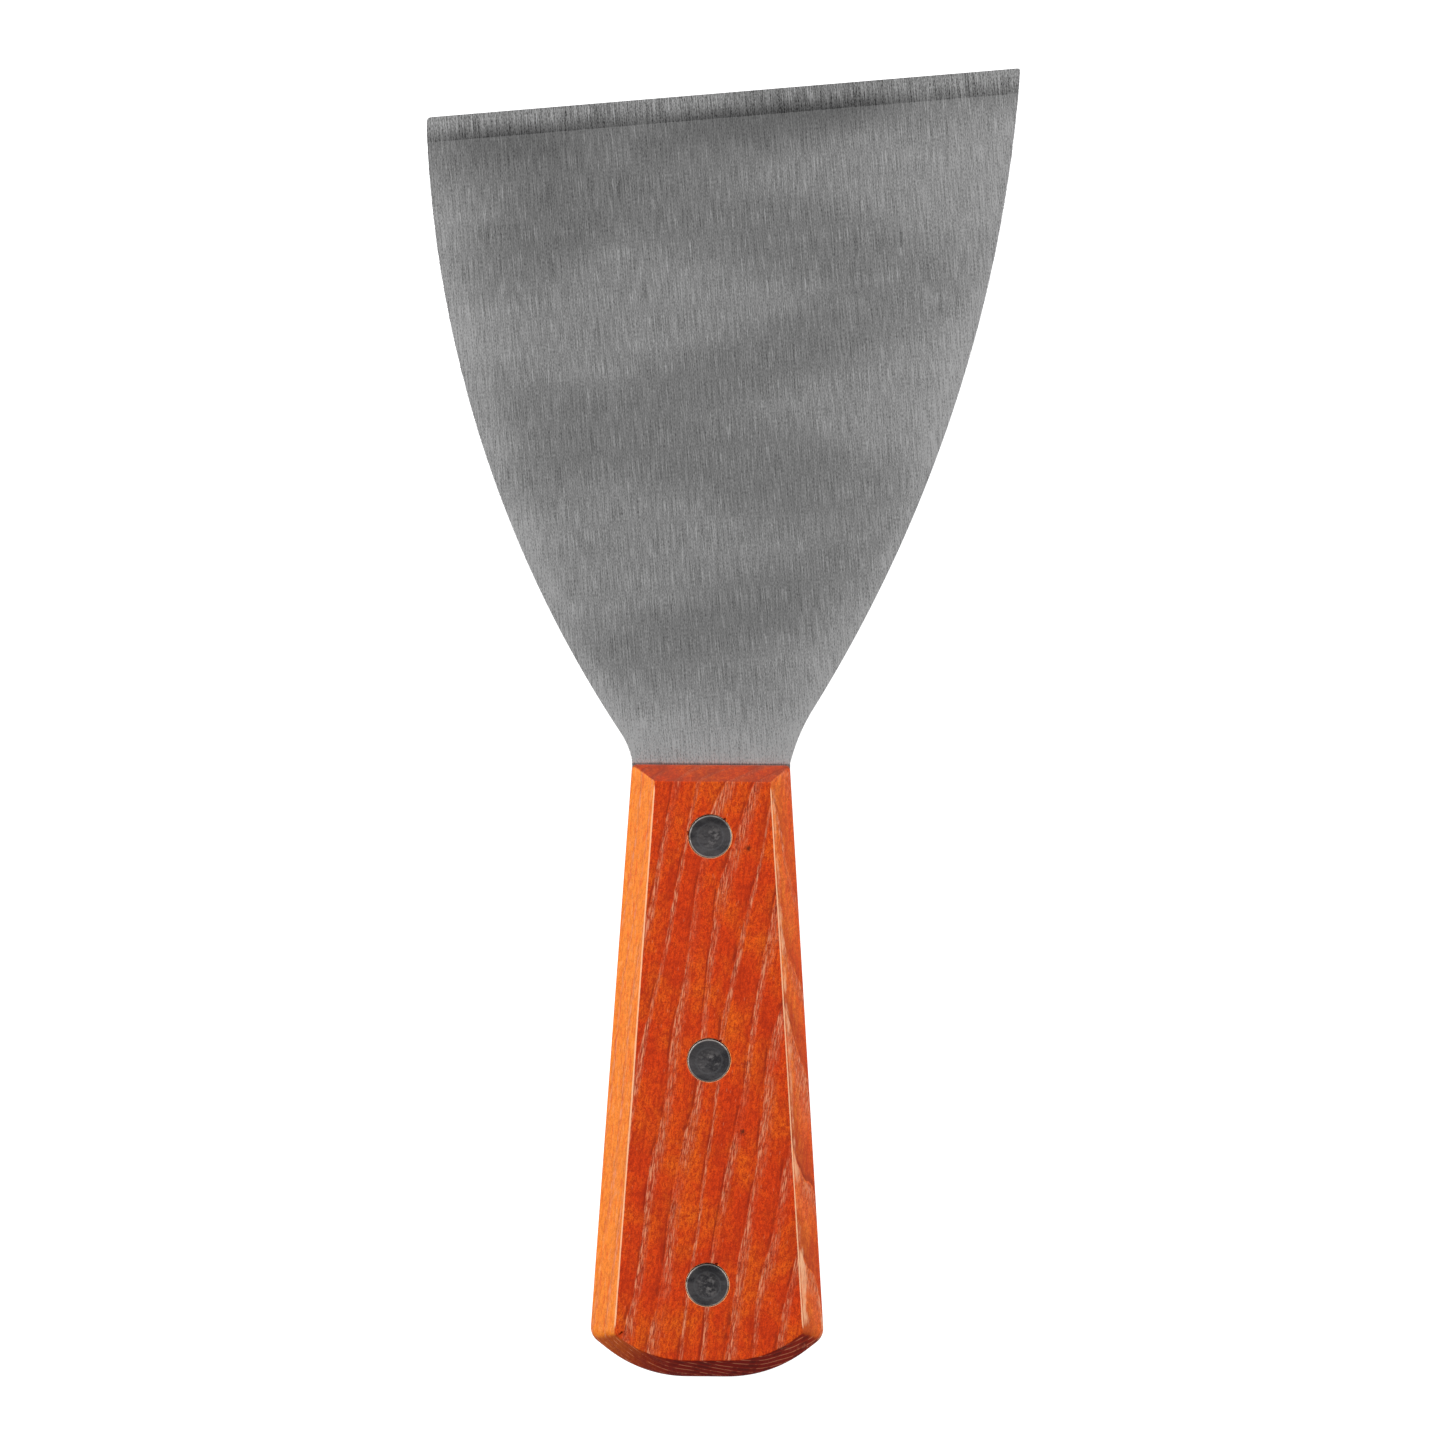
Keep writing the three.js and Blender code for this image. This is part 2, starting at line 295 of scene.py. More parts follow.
def mesh_from(name, vertices, faces):
    """A smooth-shaded mesh with outward faces."""
    mesh = bpy.data.meshes.new(name)
    mesh.from_pydata([tuple(v) for v in vertices], [], faces)
    shape = bmesh.new()
    shape.from_mesh(mesh)
    bmesh.ops.recalc_face_normals(shape, faces=shape.faces)
    shape.to_mesh(mesh)
    shape.free()
    mesh.shade_smooth()
    return mesh


def set_attribute(mesh, name, values):
    """Stores one number per vertex, for a material to read."""
    layer = mesh.attributes.get(name) or mesh.attributes.new(name, "FLOAT", "POINT")
    layer.data.foreach_set("value", np.asarray(values, np.float32))


def turned_mesh(name, profile, segments):
    """A turned solid about Z from (radius, height) pairs. It starts and ends on the axis."""
    vertices, rings = [], []
    for radius, z in profile:
        count = segments if radius > 0 else 1
        rings.append(range(len(vertices), len(vertices) + count))
        angles = [2 * math.pi * i / segments for i in range(count)]
        vertices += [(radius * math.cos(a), radius * math.sin(a), z) for a in angles]
    faces = []
    for lower, upper in zip(rings, rings[1:]):
        for i in range(segments):
            j = (i + 1) % segments
            corners = [lower[i % len(lower)], lower[j % len(lower)]]
            corners += [upper[j % len(upper)], upper[i % len(upper)]]
            faces.append(list(dict.fromkeys(corners)))
    return mesh_from(name, vertices, faces)


def cut_holes(mesh, cutters):
    """Cuts turned solids out of a mesh and returns the result."""
    body = bpy.data.objects.new("body_to_cut", mesh)
    bpy.context.scene.collection.objects.link(body)
    tools = []
    for cutter, place in cutters:
        tool = bpy.data.objects.new("cutter", cutter)
        tool.matrix_world = place
        bpy.context.scene.collection.objects.link(tool)
        cut = body.modifiers.new("cut", "BOOLEAN")
        cut.object = tool
        cut.solver = "EXACT"
        tools.append(tool)
    bpy.context.view_layer.update()
    evaluated = body.evaluated_get(bpy.context.evaluated_depsgraph_get())
    result = bpy.data.meshes.new_from_object(evaluated)
    result.name = mesh.name
    for used in tools + [body]:
        bpy.data.objects.remove(used)
    return result


def at_handle(y=0.0):
    """Moves a piece drawn about the tang's middle to the handle's axis."""
    return Matrix.Translation((AXIS_X, FRONT_Y + y, MIDDLE_Z))


def turned_over(y=0.0):
    """Turns a piece drawn about the tang's middle over to the back, and moves it to the handle's axis."""
    return at_handle(y) @ Matrix.Rotation(math.pi, 4, "Y")


def rivet_ys():
    """Where the rivets are, from the handle's front."""
    return [RIVET_Y[name] - FRONT_Y for name in RIVETS]


# ---------------------------------------------------------------- the scales


def scale_section():
    """A scale's section from the tang outwards, as (share of the chamfer, inset, height, wear)."""
    foot = TANG_HALF_THICKNESS
    wall = OUTER_HEIGHT - CHAMFER_DEPTH
    ease = SEAM_EASING
    section = [(0, 4 * ease, foot, 0), (0, ease, foot, 0), (0, 0.3 * ease, foot + 0.3 * ease, 0)]
    section += [(0, 0, foot + ease, 0)]
    section += [(0, 0, foot + (wall - foot) * share, 0) for share in (0.35, 0.7)]
    low_start = Vector((0, wall - 0.0006))
    low_end = Vector((LOW_RIDGE, wall + CHAMFER_DEPTH * LOW_RIDGE))
    low = bend(low_start, Vector((0, wall)), low_end, 6)
    section += [(point.x, 0, point.y, 0) for point in low]
    # the last number in each entry is how pale the ridge is painted: worn wood and partly a painted highlight
    for share, wear_and_highlight in ((0.35, 0), (0.6, 0), (0.75, 0.25), (0.85, 0.4), (0.92, 0.45)):
        section.append((share, 0, wall + CHAMFER_DEPTH * share, wear_and_highlight))
    high_start = Vector((1 - HIGH_RIDGE, OUTER_HEIGHT - CHAMFER_DEPTH * HIGH_RIDGE))
    high_end = Vector((1 + HIGH_RIDGE, OUTER_HEIGHT))
    high = bend(high_start, Vector((1, OUTER_HEIGHT)), high_end, 6)
    section += [(point.x, 0, point.y, wear_and_highlight) for point, wear_and_highlight in zip(high, (0, 0.4, 1, 1, 1, 0.4, 0))]
    section += [(1.12, 0, OUTER_HEIGHT, 0), (1.4, 0, OUTER_HEIGHT, 0)]
    return section


def hand_sanding(point, seed):
    """How much wider or narrower the sander left the chamfer here, as a share."""
    return 0.05 * noise.noise(Vector((point.x * 90, point.y * 70, seed)))


def scale_mesh(name, seed):
    vertices, pale_ridge_shares, rings = [], [], []
    for share, easing, height, wear_and_highlight in scale_section():
        inset = {side: share * width + easing for side, width in CHAMFER_WIDTH.items()}
        up = min(share, 1)
        radius = {end: (1 - up) * WALL_CORNER[end] + up * FACE_CORNER[end] for end in WALL_CORNER}
        outline = handle_outline(inset, radius)
        rings.append(range(len(vertices), len(vertices) + len(outline)))
        for point, stretch in outline:
            uneven = max(hand_sanding(point, seed), 0) * max(share, 0) * min(CHAMFER_WIDTH.values())
            inward = (Vector((0, -HANDLE_LENGTH / 2)) - point).normalized() * uneven
            vertices.append((point.x + inward.x, point.y + inward.y, height))
            # pale ridges, worn and partly a painted highlight: on the left only the top ridge, on the right
            # the upper chamfer too
            worn = stretch == "side" and (point.x > 0 or share > LEFT_PALE_RIDGE_STARTS)
            pale_ridge_shares.append(wear_and_highlight if worn else 0)
    count = len(rings[0])
    faces = [list(rings[0])[::-1], list(rings[-1])]
    for low, high in zip(rings, rings[1:]):
        for i in range(count):
            j = (i + 1) % count
            faces.append([low[i], low[j], high[j], high[i]])
    mesh = mesh_from(name, vertices, faces)
    set_attribute(mesh, "wear_and_highlight", pale_ridge_shares)
    return mesh


def hole_cutter():
    """What a rivet needs cut out of a scale: a through hole, a counterbore and a small flare at its mouth."""
    bore = BARREL_RADIUS + HOLE_CLEARANCE
    counterbore = HEAD_RADIUS + HOLE_CLEARANCE
    above = OUTER_HEIGHT + 0.001
    profile = [(0, 0), (bore, 0), (bore, HEAD_UNDERSIDE), (counterbore, HEAD_UNDERSIDE)]
    profile += [(counterbore, OUTER_HEIGHT - HOLE_FLARE), (counterbore + HOLE_FLARE, OUTER_HEIGHT)]
    profile += [(counterbore + HOLE_FLARE, above), (0, above)]
    return turned_mesh("hole_cutter", profile, 64)


def chip_cutter():
    """A splinter torn from a counterbore's mouth by the drill."""
    size, above = CHIP_SIZE, 0.001
    profile = [(0, -size), (size * 0.7, -size * 0.7), (size, 0), (size, above), (0, above)]
    return turned_mesh("chip_cutter", profile, 10)


def scale_cuts():
    """The cutters for a scale's three holes and the splinters at their mouths, each with its place."""
    hole, chip = hole_cutter(), chip_cutter()
    cuts = []
    for y, off_centre, chip_angles in zip(rivet_ys(), HOLE_OFF_CENTRE, CHIP_ANGLES):
        centre = Vector((0, y, 0)) + Vector(off_centre).to_3d()
        cuts.append((hole, Matrix.Translation(centre)))
        for angle in chip_angles:
            away = Vector((math.cos(math.radians(angle)), math.sin(math.radians(angle)), 0))
            lip = centre + away * (HEAD_RADIUS + HOLE_CLEARANCE) + Vector((0, 0, OUTER_HEIGHT))
            cuts.append((chip, Matrix.Translation(lip)))
    return cuts


def wear_hole_lips(mesh):
    """Marks the flares at the holes' mouths as worn to pale wood."""
    wear_and_highlight = np.zeros(len(mesh.vertices), np.float32)
    mesh.attributes["wear_and_highlight"].data.foreach_get("value", wear_and_highlight)
    lip = HEAD_RADIUS + HOLE_CLEARANCE + HOLE_FLARE
    for vertex in mesh.vertices:
        away = min(math.hypot(vertex.co.x, vertex.co.y - y) for y in rivet_ys())
        if away < lip and OUTER_HEIGHT - 1.5 * HOLE_FLARE < vertex.co.z < OUTER_HEIGHT - 0.5 * HOLE_FLARE:
            wear_and_highlight[vertex.index] = 0.8
    set_attribute(mesh, "wear_and_highlight", wear_and_highlight)


def make_scale(name, seed, place, material, node):
    mesh = cut_holes(scale_mesh(name, seed), scale_cuts())
    wear_hole_lips(mesh)
    mesh.transform(place)
    mesh.shade_smooth()
    mesh.set_sharp_from_angle(angle=math.radians(35))
    return new_piece(name, mesh, material, "stained_wood", node)


# ---------------------------------------------------------------- the blade


def half_thickness(back):
    """Half the blade's thickness at a distance back from its edge."""
    slope = (TANG_HALF_THICKNESS - BAND_HALF_THICKNESS) / (TAPER_END - EDGE_BAND)
    return min(BAND_HALF_THICKNESS + slope * (back - EDGE_BAND), TANG_HALF_THICKNESS)


def front_height(back):
    """The front face's height over the middle plane: hollow-ground in the band along the edge."""
    if back >= EDGE_BAND:
        return half_thickness(back)
    edge_top = EDGE_THICKNESS - half_thickness(0)
    return edge_top + (BAND_HALF_THICKNESS - edge_top) * (back / EDGE_BAND) ** 2


def blade_rows(longest):
    """Distances back from the edge at which the blade is cut into rows."""
    corner = [0, 0.00003, 0.00009, 0.00018, 0.0003, 0.00045, 0.00065, 0.0009]
    band = list(np.linspace(0.0013, EDGE_BAND, 9))
    body = list(np.linspace(EDGE_BAND + 0.0005, longest - 0.008, 150))
    butt = [longest - 0.008 * (1 - i / 14) ** 2 for i in range(1, 14)] + [longest - 1e-6]
    return corner + band + body + butt


def row_places(left, right):
    """Points across one row, closest together at the two flanks."""
    width = right - left
    near = [0, 0.3 * FLANK_ROUNDING, FLANK_ROUNDING, 2 * FLANK_ROUNDING, 0.0004]
    squeeze = min(1, width / (4 * near[-1]))
    near = [squeeze * gap for gap in near]
    inner = list(np.linspace(left + near[-1], right - near[-1], 31))[1:-1]
    return [left + gap for gap in near] + inner + [right - gap for gap in near[::-1]]


def blade_flanks():
    """The two flanks as (distances back from the edge, places along the edge), left and right."""
    outline = [point - EDGE_MIDDLE for point in blade_outline()]
    across = np.array([point.dot(ALONG_EDGE) for point in outline])
    depth = np.array([max(point.dot(BACK_FROM_EDGE), 0) for point in outline])
    farthest = int(depth.argmax())
    across, depth = np.roll(across, -farthest), np.roll(depth, -farthest)
    nearest = int(np.flatnonzero(depth < 1e-7)[0])
    left = np.append(depth[nearest + 1 :], depth[0]), np.append(across[nearest + 1 :], across[0])
    right = depth[: nearest + 1][::-1], across[: nearest + 1][::-1]
    return left, right


def blade_faces(rows, columns):
    """Closes a grid of front and back rows of points into a shell."""

    def index(row, side, column):
        return (row * 2 + side) * columns + column

    faces = []
    for row in range(rows - 1):
        for side in (0, 1):
            for column in range(columns - 1):
                quad = [index(row, side, column), index(row, side, column + 1)]
                quad += [index(row + 1, side, column + 1), index(row + 1, side, column)]
                faces.append(quad)
        for column in (0, columns - 1):
            quad = [index(row, 0, column), index(row + 1, 0, column)]
            quad += [index(row + 1, 1, column), index(row, 1, column)]
            faces.append(quad)
    for row in (0, rows - 1):
        for column in range(columns - 1):
            quad = [index(row, 0, column), index(row, 0, column + 1)]
            quad += [index(row, 1, column + 1), index(row, 1, column)]
            faces.append(quad)
    return faces


def blade_mesh():
    left_flank, right_flank = blade_flanks()
    rows = blade_rows(float(left_flank[0].max()))
    vertices, flank = [], []
    for back in rows:
        left = float(np.interp(back, *left_flank))
        right = float(np.interp(back, *right_flank))
        places = row_places(left, right)
        for side in (1, -1):
            height = front_height(back) if side > 0 else -half_thickness(back)
            for along in places:
                gap = min(along - left, right - along, FLANK_ROUNDING)
                drop = FLANK_ROUNDING - math.sqrt(FLANK_ROUNDING**2 - (FLANK_ROUNDING - gap) ** 2)
                point = EDGE_MIDDLE + ALONG_EDGE * along + BACK_FROM_EDGE * back
                vertices.append((point.x, point.y, height - side * drop))
                flank.append((2 * along - left - right) / max(right - left, FLANK_ROUNDING))
    mesh = mesh_from("blade_detail", vertices, blade_faces(len(rows), len(places)))
    set_attribute(mesh, "flank", flank)
    return mesh


def make_blade(material):
    bore = BARREL_RADIUS + HOLE_CLEARANCE
    reach = 2 * TANG_HALF_THICKNESS
    cutter = turned_mesh("tang_cutter", [(0, -reach), (bore, -reach), (bore, reach), (0, reach)], 48)
    cuts = [(cutter, Matrix.Translation((0, y, 0))) for y in rivet_ys()]
    mesh = cut_holes(blade_mesh(), cuts)
    mesh.transform(at_handle())
    mesh.shade_smooth()
    mesh.set_sharp_from_angle(angle=math.radians(7))
    return new_piece("blade_detail", mesh, material, "blade_steel", "blade")


# ---------------------------------------------------------------- the rivets


def head_profile(shank_radius):
    """The head both rivet halves share: a rounded rim, a flat ring and a shallow dish."""
    profile = [(shank_radius, HEAD_UNDERSIDE), (HEAD_RADIUS, HEAD_UNDERSIDE)]
    start = Vector((HEAD_RADIUS, HEAD_HEIGHT - RIM_ROUNDING))
    end = Vector((HEAD_RADIUS - RIM_ROUNDING, HEAD_HEIGHT))
    profile += [tuple(point) for point in bend(start, Vector((HEAD_RADIUS, HEAD_HEIGHT)), end, 4)]
    steps = 25
    for i in range(steps + 1):
        radius = DISH_RADIUS * (1 - i / steps)
        hollow = 1 - (radius / DISH_RADIUS) ** 2
        profile.append((radius, HEAD_HEIGHT - 0.00002 - DISH_DEPTH * hollow))
    return profile


def dent_head(mesh, seed):
    """Hammer marks: shallow dents, deepest at the middle of the dish."""
    outwards = []
    for vertex in mesh.vertices:
        radius = math.hypot(vertex.co.x, vertex.co.y)
        on_top = vertex.co.z > HEAD_UNDERSIDE + HEAD_THICKNESS / 2
        if on_top and radius < DISH_RADIUS:
            middle = math.exp(-((radius / 0.0014) ** 2))
            fine = noise.noise(Vector((vertex.co.x * 2300, vertex.co.y * 2300, seed)))
            broad = noise.noise(Vector((vertex.co.x * 700, vertex.co.y * 700, seed + 5)))
            vertex.co.z += 0.00006 * middle * fine + 0.00003 * broad
        outwards.append(radius / HEAD_RADIUS if on_top else 0)
    set_attribute(mesh, "outwards", outwards)


def make_rivet(name, seed, y, material):
    mouth = -HEAD_UNDERSIDE + BARREL_SHORT_OF_PIN_HEAD
    barrel = [(0, BORE_TOP), (BORE_RADIUS, BORE_TOP), (BORE_RADIUS, mouth), (BARREL_RADIUS, mouth)]
    tip = PIN_RADIUS / 4
    pin = [(0, -PIN_TIP), (PIN_RADIUS - tip, -PIN_TIP), (PIN_RADIUS, -PIN_TIP + tip)]
    halves = (
        ("barrel", barrel + head_profile(BARREL_RADIUS), at_handle(y), seed),
        ("pin", pin + head_profile(PIN_RADIUS), turned_over(y), seed + 20),
    )
    for half, profile, place, half_seed in halves:
        node = f"{name}_rivet_{half}"
        mesh = turned_mesh(f"{node}_detail", profile, 96)
        dent_head(mesh, half_seed)
        mesh.transform(place)
        mesh.set_sharp_from_angle(angle=math.radians(40))
        new_piece(f"{node}_detail", mesh, material, "rivet_steel", node)


# ---------------------------------------------------------------- materials


class Nodes:
    """The nodes of a material or a world, with one short call for each kind used here."""

    def __init__(self, owner):
        owner.use_nodes = True
        self.owner = owner
        self.tree = owner.node_tree

    def add(self, kind, inputs=None, **settings):
        """Adds a node, sets its properties, and fills its inputs with values or links."""
        made = self.tree.nodes.new(kind)
        for name, value in settings.items():
            setattr(made, name, value)
        for key, value in (inputs or {}).items():
            self.fill(made.inputs[key], value)
        return made

    def fill(self, socket, value):
        if isinstance(value, bpy.types.NodeSocket):
            self.tree.links.new(value, socket)
        else:
            socket.default_value = value

    def math(self, operation, first, second=0.0):
        return self.add("ShaderNodeMath", {0: first, 1: second}, operation=operation).outputs[0]

    def product(self, *values):
        return functools.reduce(lambda first, second: self.math("MULTIPLY", first, second), values)

    def total(self, *values):
        return functools.reduce(lambda first, second: self.math("ADD", first, second), values)

    def parts(self, vector):
        """A vector's X, Y and Z."""
        return self.add("ShaderNodeSeparateXYZ", {0: vector}).outputs

    def facing(self):
        """X, Y and Z of the way the surface faces."""
        return self.parts(self.add("ShaderNodeTexCoord").outputs["Normal"])

    def place(self, location=(0, 0, 0), turn=(0, 0, 0)):
        """Where on the piece a point is, in the model's frame, turned and then moved."""
        source = self.add("ShaderNodeTexCoord").outputs["Object"]
        inputs = {"Vector": source, "Location": location, "Rotation": turn}
        return self.add("ShaderNodeMapping", inputs).outputs[0]

    def noise(self, vector, size, detail=2.0, roughness=0.5, turn=(0, 0, 0), move=(0, 0, 0)):
        """Noise from 0 to 1 whose features have the given size along X, Y and Z."""
        inputs = {"Vector": vector, "Scale": size, "Rotation": turn, "Location": move}
        mapped = self.add("ShaderNodeMapping", inputs, vector_type="TEXTURE").outputs[0]
        inputs = {"Vector": mapped, "Scale": 1.0, "Detail": detail, "Roughness": roughness}
        return self.add("ShaderNodeTexNoise", inputs).outputs["Fac"]

    def cells(self, vector, size, move=(0, 0, 0)):
        """Distance to the nearest of many scattered points, each cell having the given size."""
        inputs = {"Vector": vector, "Scale": size, "Location": move}
        mapped = self.add("ShaderNodeMapping", inputs, vector_type="TEXTURE").outputs[0]
        return self.add("ShaderNodeTexVoronoi", {"Vector": mapped, "Scale": 1.0}).outputs["Distance"]

    def fade(self, value, start, end, low=0.0, high=1.0):
        """Goes smoothly from low to high as value goes from start to end."""
        inputs = {"Value": value, "From Min": start, "From Max": end, "To Min": low, "To Max": high}
        made = self.add("ShaderNodeMapRange", inputs, interpolation_type="SMOOTHSTEP")
        return made.outputs[0]

    def mix(self, share, first, second):
        """Mixes two colours."""
        made = self.add("ShaderNodeMix", data_type="RGBA")
        self.fill(made.inputs["Factor"], share)
        self.fill(made.inputs[6], first)
        self.fill(made.inputs[7], second)
        return made.outputs[2]

    def attribute(self, name):
        return self.add("ShaderNodeAttribute", attribute_name=name).outputs["Fac"]

    def bump(self, height, distance, strength=1.0):
        inputs = {"Height": height, "Distance": distance, "Strength": strength}
        self.set(Normal=self.add("ShaderNodeBump", inputs).outputs[0])

    def set(self, **values):
        """Sets the surface's or the background's inputs, written with _ for a space."""
        surface = self.tree.nodes.get("Principled BSDF") or self.tree.nodes["Background"]
        for name, value in values.items():
            self.fill(surface.inputs[name.replace("_", " ")], value)


def new_material(name):
    return Nodes(bpy.data.materials.new(name))


def grey(level):
    return (level, level, level, 1)


# ---------------------------------------------------------------- the steel

def zigzag(s, place):
    """Broad, soft dark strokes of painted reflection across the blade, as a negative level. They fade out
    towards the left.
    """
    x, y, _ = s.parts(place)
    drift = s.product(s.math("SUBTRACT", s.noise(place, (0.03, 0.03, 0.03), 1, 0.4), 0.5), 0.007)
    strokes = 0
    for slope, crossing in (DOWN_RIGHT, DOWN_LEFT):
        height = s.total(y, s.product(x, slope), drift)
        turns = s.math("DIVIDE", s.math("SUBTRACT", height, crossing), ZIGZAG_STEP)
        stroke = s.fade(s.math("COSINE", s.product(turns, 2 * math.pi)), -0.1, 1.0)
        strokes = s.math("MAXIMUM", strokes, stroke)
    return s.product(strokes, s.fade(x, -0.050, -0.025, -0.09, -0.125))


def distance_from_edge(s, place):
    """How far back from the working edge a point is."""
    offset = s.add("ShaderNodeVectorMath", {0: place, 1: EDGE_MIDDLE.to_3d()}, operation="SUBTRACT")
    inputs = {0: offset.outputs["Vector"], 1: BACK_FROM_EDGE.to_3d()}
    return s.add("ShaderNodeVectorMath", inputs, operation="DOT_PRODUCT").outputs["Value"]


def scratches(s, place, fine):
    """Grinding marks square to the edge, as a share of the level, around zero."""
    turn = (0, 0, EDGE_SLANT)
    coarse = s.noise(place, (0.0005, 0.012, 0.01), 2, 0.5, turn, (0.013, 0, 0))
    grain = s.noise(place, (0.00012, 0.00045, 0.01), 2, 0.7, turn)
    glints = s.fade(s.noise(place, (0.00017, 0.0040, 0.01), 1, 0.4, turn, (0.5, 0.2, 0)), 0.60, 0.74)
    lines = s.product(glints, 0.65)
    for marks, strength in ((fine, 2.6), (coarse, 0.25), (grain, 2.3)):
        lines = s.total(lines, s.product(s.math("SUBTRACT", marks, 0.5), strength))
    return lines


def soft_shading(s, place, back, on_front, in_band):
    """Painted light and shade that lightens or darkens the steel smoothly: reflections in the zigzag,
    highlights on both flanks and the neck, shade at the top left and behind the ground band, and shade and a
    highlight in the band.
    """
    x, y, _ = s.parts(place)
    flank = s.attribute("flank")
    shine = s.total(s.fade(flank, 0.3, 1.0, 0, 0.12), s.fade(flank, -0.6, -1.0, 0, 0.10))
    # painted highlights in lines along the flanks' rims, strongest towards the handle
    rim = s.fade(s.math("ABSOLUTE", flank), 0.82, 1.0, 0, 0.15)
    rim = s.product(rim, s.fade(y, 0.100, 0.080, 0.35, 1))
    # painted shade towards the top left
    painted_shade_top_left = s.product(s.fade(x, 0, -0.03), s.fade(y, 0.070, 0.095, 0, -0.06))
    # a painted highlight that brightens the neck
    neck = s.fade(y, 0.022, 0.004, 0, 0.26)
    # painted shade just behind the ground band
    foot = s.product(on_front, s.fade(back, EDGE_BAND, EDGE_BAND + 0.008, -0.13, 0))
    band = s.math("DIVIDE", back, EDGE_BAND)
    # a painted highlight near the edge, and painted shade that deepens towards the band's root
    edge = s.product(in_band, s.fade(band, 0.1, 1.0, 0.15, 0.04))
    shade = s.product(in_band, s.math("POWER", band, 2), -BAND_SHADE)
    return s.total(zigzag(s, place), shine, rim, painted_shade_top_left, neck, foot, edge, shade)


def brushed_steel():
    """Blade steel, ground lengthwise, with painted shade darkening the root of the band that is ground along
    its edge, and other painted light and shade.
    """
    s = new_material("brushed_steel")
    place = s.place((-AXIS_X, -FRONT_Y, 0))
    _, y, z = s.parts(place)
    back = distance_from_edge(s, place)
    on_front = s.math("GREATER_THAN", z, MIDDLE_Z - EDGE_THICKNESS / 2)
    in_band = s.product(s.math("LESS_THAN", back, EDGE_BAND), on_front)
    soft = soft_shading(s, place, back, on_front, in_band)
    fine = s.noise(place, (0.00012, 0.0060, 0.01), 3, 0.7, (0, 0, EDGE_SLANT))
    lines = s.product(scratches(s, place, fine), s.total(s.product(in_band, 0.6), 1))

    flat = s.fade(s.math("ABSOLUTE", s.facing()[2]), 0.3, 0.7)
    # a painted contact shadow on the flat faces, where the blade meets the handle's front
    painted_contact_shadow = s.product(flat, s.fade(y, 0.0001, 0.0005, 0.65, 0))
    level = s.total(STEEL, s.product(flat, soft))
    level = s.product(level, s.total(lines, 1), s.math("SUBTRACT", 1, painted_contact_shadow))
    colour = s.add("ShaderNodeCombineColor", {0: level, 1: level, 2: level}).outputs[0]
    across = s.add("ShaderNodeCombineXYZ", {0: ALONG_EDGE.x, 1: ALONG_EDGE.y})
    s.set(Base_Color=colour, Metallic=1.0, Anisotropic=0.3, Tangent=across.outputs[0])
    s.set(Roughness=s.fade(fine, 0.2, 0.8, 0.34, 0.28))
    s.bump(fine, 0.00001, 0.5)
    return s.owner


def blackened_steel():
    """Rivet steel: dark oxide with pale smudges at the middle, a ring where the punch sat, and a pale rim that
    is a painted highlight.
    """
    s = new_material("blackened_steel")
    place = s.place()
    outwards = s.attribute("outwards")
    smudge = s.noise(place, (0.0011, 0.0009, 0.002), 4, 0.65)
    broad = s.noise(place, (0.0040, 0.0016, 0.004), 2, 0.5)
    grit = s.noise(place, (0.00022, 0.00022, 0.00022), 2, 0.6)
    colour = s.mix(s.fade(broad, 0.35, 0.65), (0.045, 0.043, 0.048, 1), (0.115, 0.108, 0.112, 1))
    marks = s.product(s.fade(smudge, 0.46, 0.68), s.fade(outwards, 0.75, 0.25, 0.15, 1))
    colour = s.mix(marks, colour, (0.30, 0.28, 0.28, 1))
    colour = s.mix(s.fade(grit, 0.45, 0.75, 0, 0.3), colour, (0.2, 0.2, 0.2, 1))
    ring = s.product(s.fade(outwards, 0.56, 0.60), s.fade(outwards, 0.62, 0.68, 0.35, 0))
    colour = s.mix(ring, colour, (0.18, 0.18, 0.19, 1))
    # a pale rim: a painted highlight along the head's rounded edge, broken up by the broad noise
    rim = s.product(s.fade(outwards, 0.92, 0.97), s.fade(broad, 0.38, 0.6, 0.35, 1))
    colour = s.mix(rim, colour, (0.60, 0.56, 0.53, 1))
    s.set(Base_Color=colour, Metallic=0.85, Roughness=s.fade(smudge, 0.3, 0.7, 0.5, 0.36))
    s.bump(grit, 0.00003, 0.5)
    return s.owner


# ---------------------------------------------------------------- the wood


